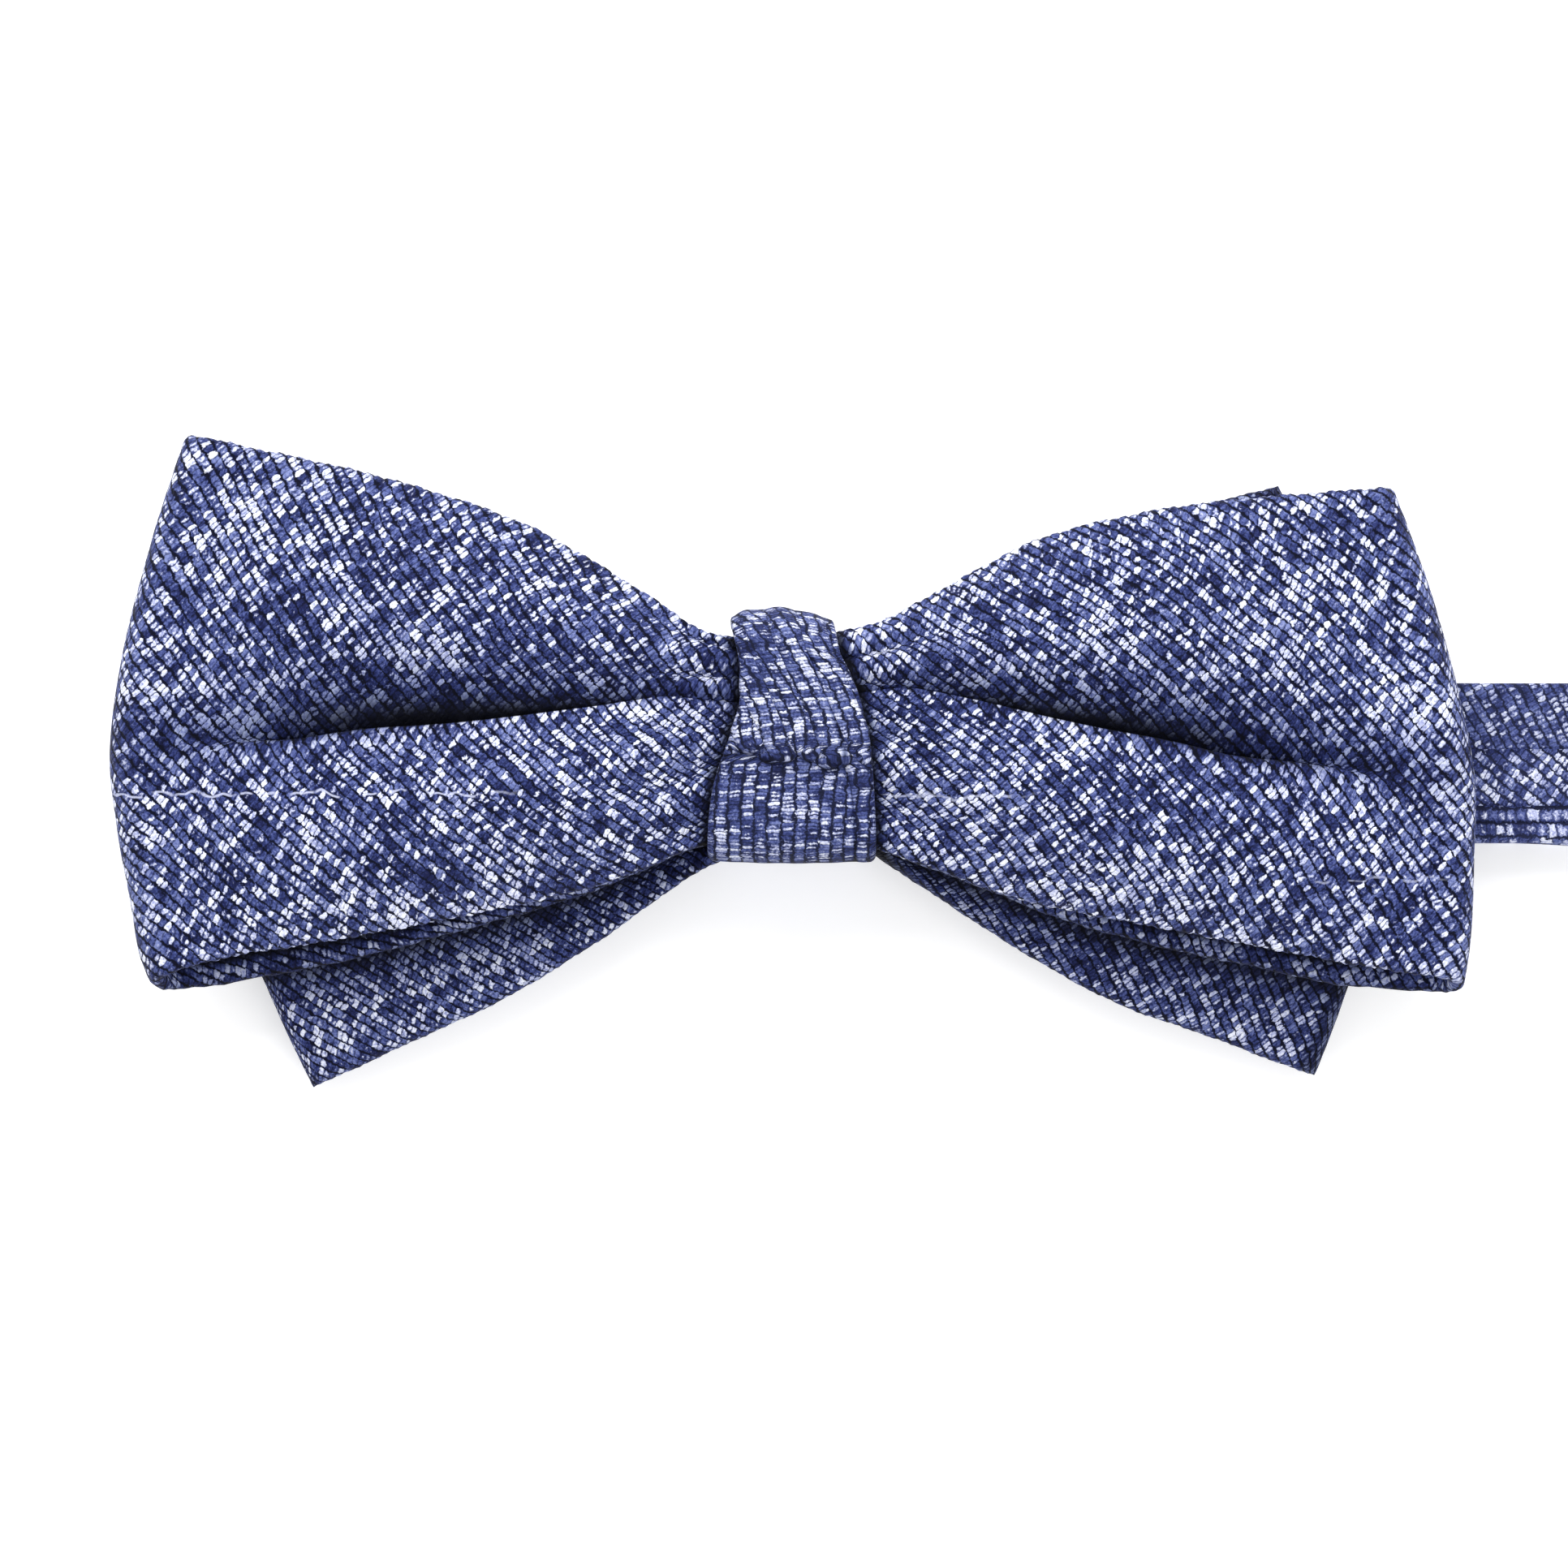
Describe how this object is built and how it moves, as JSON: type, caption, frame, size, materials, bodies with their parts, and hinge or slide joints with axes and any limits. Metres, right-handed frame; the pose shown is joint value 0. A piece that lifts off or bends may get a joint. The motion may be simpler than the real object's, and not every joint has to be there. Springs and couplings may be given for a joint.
{
  "type": "bow tie",
  "caption": "Ready-tied bow tie in blue woven cloth: looped front bow over a flat back bow, wrapped knot, and a neckband that ends in a slider, a hook and an eye.",
  "frame": {"origin": "on the resting plane, behind the middle of the knot, on the underside of the neckband's lower strand", "axes": "+X along the bow towards the end where the neckband leaves, +Y to the top of the bow, +Z out of the bow's face"},
  "size_m": [0.2182, 0.0678, 0.0188],
  "materials": {
    "bow_fabric": "slubbed two-tone weave cut on the bias, blue with pale flecks",
    "interlining": "stiff unbleached interlining",
    "thread": "navy sewing thread",
    "fitting_metal": "nickel-plated stamped steel, satin"
  },
  "bodies": {
    "bow": {"front_bow_fabric": "bow_fabric", "front_bow_interlining": "interlining", "front_bow_join_stitches": "thread", "back_bow_fabric": "bow_fabric", "back_bow_interlining": "interlining", "gather_thread": "thread", "knot_wrap_fabric": "bow_fabric", "knot_wrap_interlining": "interlining", "knot_seam_stitches": "thread", "neckband_fabric": "bow_fabric", "neckband_eye_strap": "bow_fabric", "neckband_eye_loop": "bow_fabric", "neckband_interlining": "interlining", "eye_bar_tack": "thread"},
    "band_end": {"neckband_adjuster_ply": "bow_fabric", "neckband_hook_loop": "bow_fabric", "neckband_return_ply": "bow_fabric"},
    "slider_body": {"slider": "fitting_metal", "slider_bar_tack": "thread"},
    "hook_body": {"hook": "fitting_metal"},
    "eye_body": {"eye": "fitting_metal"}
  },
  "joints": [
    {"name": "band_adjust", "type": "slide", "parent": "bow", "child": "band_end", "axis": [1, 0, 0], "range_m": [-0.01, 0.03], "deforming": ["neckband_adjuster_ply"]},
    {"name": "slider_travel", "type": "slide", "parent": "band_end", "child": "slider_body", "axis": [1, 0, 0], "range_m": [-0.01, 0.03], "deforming": ["neckband_return_ply"]},
    {"name": "hook_swing", "type": "hinge", "parent": "band_end", "child": "hook_body", "pos_m": [0.14, -0.0023, 0.0038], "axis": [0, -1, 0], "range_deg": [0, 120]},
    {"name": "eye_swing", "type": "hinge", "parent": "bow", "child": "eye_body", "pos_m": [0.14534, -0.02876, 0.002], "axis": [-0.4226, -0.9063, 0], "range_deg": [0, 120]}
  ],
  "couplings": [
    {"joint": "slider_travel", "follows": "band_adjust", "ratio": 1}
  ]
}
